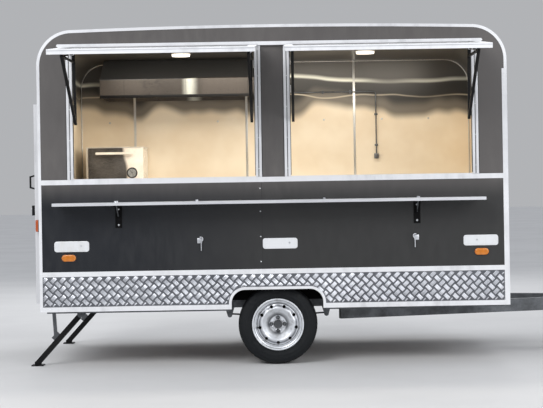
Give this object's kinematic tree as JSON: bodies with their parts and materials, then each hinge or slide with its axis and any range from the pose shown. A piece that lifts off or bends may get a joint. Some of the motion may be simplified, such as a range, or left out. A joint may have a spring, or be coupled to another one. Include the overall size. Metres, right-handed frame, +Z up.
{
  "type": "food trailer",
  "caption": "Towed food trailer on one axle, with two raised serving flaps, a folding shelf, drawbar and coupling, jockey wheel, rear steadies, rear door and a fitted cabin.",
  "frame": {"origin": "on the ground, under the middle of the whole trailer's bounding box", "axes": "+X forward along the trailer, towards the drawbar; +Y across it, from the serving side to the far side; +Z up from the ground"},
  "size_m": [4.802, 3.1046, 2.545],
  "materials": {
    "charcoal_paint": "satin",
    "white_aluminium": "powder coated, satin",
    "bare_aluminium": "mill finish",
    "tread_plate": "tread plate, mill finish",
    "flap_skin": "satin",
    "black_steel": "satin",
    "galvanised_steel": "hot-dip galvanised",
    "stainless": "brushed",
    "worktop_steel": "brushed",
    "wheel_silver": "satin",
    "drum_iron": "cast",
    "tyre_rubber": "matt",
    "jockey_rubber": "matt",
    "floor_board": "coated plywood",
    "white_plastic": "glossy",
    "amber_lens": "glossy",
    "tail_lens": "glossy",
    "lamp_lens": "frosted"
  },
  "bodies": {
    "trailer": {"serving_wall": "charcoal_paint", "back_wall": "charcoal_paint", "roof": "charcoal_paint", "front_end_wall": "charcoal_paint", "rear_end_wall": "charcoal_paint", "floor": "floor_board", "wheel_boxes": "galvanised_steel", "edge_trims": "white_aluminium", "face_strips": "white_aluminium", "tread_skirts": "tread_plate", "arch_trims": "white_aluminium", "window_frames": "white_aluminium", "head_rail": "white_aluminium", "flap_hinges": "bare_aluminium", "shelf_legs": "black_steel", "chassis_rails": "galvanised_steel", "cross_members": "galvanised_steel", "drawbar": "galvanised_steel", "tow_coupling": "galvanised_steel", "coupling_lever": "black_steel", "jockey_tube": "galvanised_steel", "axle": "galvanised_steel", "leaf_springs": "black_steel", "spring_hangers": "galvanised_steel", "steady_mounts": "galvanised_steel", "door_hinges": "bare_aluminium", "side_covers": "white_plastic", "marker_lamps": "amber_lens", "tail_lamps": "tail_lens", "latches": "bare_aluminium", "front_counter": "worktop_steel", "back_counter": "worktop_steel", "hood": "stainless", "oven": "stainless", "ceiling_lamps": "lamp_lens"},
    "wheel_right": {"wheel_right_drum": "drum_iron", "wheel_right_rim": "wheel_silver", "wheel_right_tyre": "tyre_rubber"},
    "wheel_left": {"wheel_left_drum": "drum_iron", "wheel_left_rim": "wheel_silver", "wheel_left_tyre": "tyre_rubber"},
    "flap_rear": {"flap_rear_frame": "white_aluminium", "flap_rear_panel": "flap_skin"},
    "flap_front": {"flap_front_frame": "white_aluminium", "flap_front_panel": "flap_skin"},
    "flap_rear_stay_rear": {"flap_rear_stay_rear": "black_steel"},
    "flap_rear_stay_front": {"flap_rear_stay_front": "black_steel"},
    "flap_front_stay_rear": {"flap_front_stay_rear": "black_steel"},
    "flap_front_stay_front": {"flap_front_stay_front": "black_steel"},
    "shelf": {"shelf": "stainless", "shelf_arms": "black_steel"},
    "shelf_braces": {"shelf_braces": "galvanised_steel"},
    "rear_door": {"rear_door": "charcoal_paint", "door_handle": "black_steel"},
    "steady_right": {"steady_right": "black_steel"},
    "steady_left": {"steady_left": "black_steel"},
    "jockey_slider": {"jockey_slider": "galvanised_steel"},
    "jockey_fork": {"jockey_fork": "galvanised_steel"},
    "jockey_wheel": {"jockey_wheel": "jockey_rubber"}
  },
  "joints": [
    {"name": "wheel_right_spin", "type": "hinge", "parent": "trailer", "child": "wheel_right", "pos_m": [-0.526, -0.4052, 0.298], "axis": [0, 1, 0], "continuous": true},
    {"name": "wheel_left_spin", "type": "hinge", "parent": "trailer", "child": "wheel_left", "pos_m": [-0.526, 1.3858, 0.298], "axis": [0, 1, 0], "continuous": true},
    {"name": "flap_rear_hinge", "type": "hinge", "parent": "trailer", "child": "flap_rear", "pos_m": [-1.3505, -0.5917, 2.378], "axis": [1, 0, 0], "range_deg": [0, 84]},
    {"name": "flap_rear_stay_rear_fold", "type": "hinge", "parent": "flap_rear", "child": "flap_rear_stay_rear", "pos_m": [-2.006, -0.92607, 2.30666], "axis": [0, -0.9945, -0.1045], "range_deg": [0, 90]},
    {"name": "flap_rear_stay_front_fold", "type": "hinge", "parent": "flap_rear", "child": "flap_rear_stay_front", "pos_m": [-0.695, -0.92607, 2.30666], "axis": [0, -0.9945, -0.1045], "range_deg": [-90, 0]},
    {"name": "flap_front_hinge", "type": "hinge", "parent": "trailer", "child": "flap_front", "pos_m": [0.2685, -0.5917, 2.378], "axis": [1, 0, 0], "range_deg": [0, 84]},
    {"name": "flap_front_stay_rear_fold", "type": "hinge", "parent": "flap_front", "child": "flap_front_stay_rear", "pos_m": [-0.387, -0.92607, 2.30666], "axis": [0, -0.9945, -0.1045], "range_deg": [0, 90]},
    {"name": "flap_front_stay_front_fold", "type": "hinge", "parent": "flap_front", "child": "flap_front_stay_front", "pos_m": [0.924, -0.92607, 2.30666], "axis": [0, -0.9945, -0.1045], "range_deg": [-90, 0]},
    {"name": "shelf_fold", "type": "hinge", "parent": "trailer", "child": "shelf", "pos_m": [-0.541, -0.5857, 1.214], "axis": [1, 0, 0], "range_deg": [0, 90]},
    {"name": "shelf_brace_fold", "type": "hinge", "parent": "trailer", "child": "shelf_braces", "pos_m": [-0.541, -0.5857, 1.134], "axis": [1, 0, 0], "range_deg": [0, 130]},
    {"name": "rear_door_hinge", "type": "hinge", "parent": "trailer", "child": "rear_door", "pos_m": [-2.341, 0.2503, 1.23], "axis": [0, 0, 1], "range_deg": [-170, 0]},
    {"name": "steady_right_fold", "type": "hinge", "parent": "trailer", "child": "steady_right", "pos_m": [-2.026, -0.3097, 0.385], "axis": [0, 1, 0], "range_deg": [-132, 0]},
    {"name": "steady_left_fold", "type": "hinge", "parent": "trailer", "child": "steady_left", "pos_m": [-2.026, 1.2903, 0.385], "axis": [0, 1, 0], "range_deg": [-132, 0]},
    {"name": "jockey_slide", "type": "slide", "parent": "trailer", "child": "jockey_slider", "axis": [0, 0, 1], "range_m": [-0.05, 0.1]},
    {"name": "jockey_swivel", "type": "hinge", "parent": "jockey_slider", "child": "jockey_fork", "pos_m": [1.909, 0.4903, 0.225], "axis": [0, 0, 1], "continuous": true},
    {"name": "jockey_wheel_spin", "type": "hinge", "parent": "jockey_fork", "child": "jockey_wheel", "pos_m": [1.864, 0.4903, 0.1], "axis": [0, 1, 0], "continuous": true}
  ],
  "couplings": [
    {"joint": "shelf_brace_fold", "follows": "shelf_fold", "ratio": 1.438}
  ]
}
